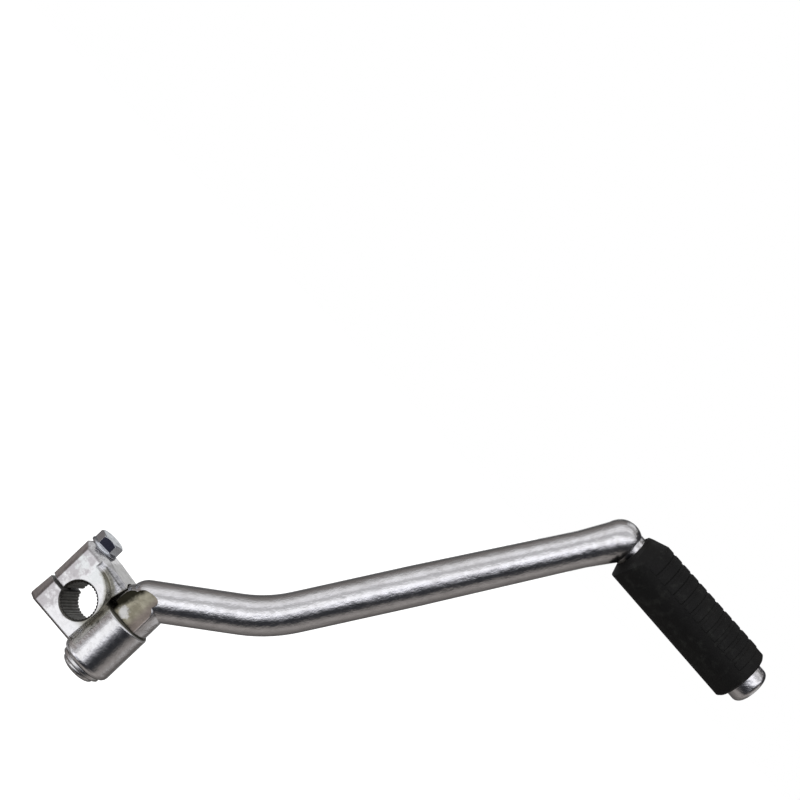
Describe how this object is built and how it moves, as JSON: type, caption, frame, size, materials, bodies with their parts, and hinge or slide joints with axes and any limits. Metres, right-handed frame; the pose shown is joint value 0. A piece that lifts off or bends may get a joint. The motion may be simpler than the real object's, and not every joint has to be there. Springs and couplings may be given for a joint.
{
  "type": "kick start lever",
  "caption": "Folding kick start lever: a split serrated shaft clamp with a pivot barrel carries a cranked steel arm that swings out and ends in a ribbed rubber foot peg.",
  "frame": {"origin": "centre of the serrated shaft bore, at the middle of the clamp's thickness", "axes": "+Y along the shaft bore towards the machine, so the outer face looks to -Y; +Z along the fold pivot, towards the arm; +X from the shaft bore to the fold pivot"},
  "size_m": [0.2163, 0.0659, 0.2007],
  "materials": {
    "plated_block": "bright plated forging, satin",
    "plated_arm": "bright plating over a slightly hammered forging",
    "zinc_screw": "zinc plated",
    "bare_steel": "oiled bare steel",
    "peg_rubber": "matt moulded rubber"
  },
  "bodies": {
    "clamp": {"boss": "plated_block", "pinch_bolt": "zinc_screw"},
    "lever": {"arm": "plated_arm", "pivot_bolt": "zinc_screw", "pivot_washer": "zinc_screw", "detent_ball": "bare_steel", "detent_spring": "bare_steel", "peg_rubber": "peg_rubber"}
  },
  "joints": [
    {"name": "arm_fold", "type": "hinge", "parent": "clamp", "child": "lever", "pos_m": [0.0166, 0, 0], "axis": [0, 0, 1], "range_deg": [-90, 0]}
  ]
}
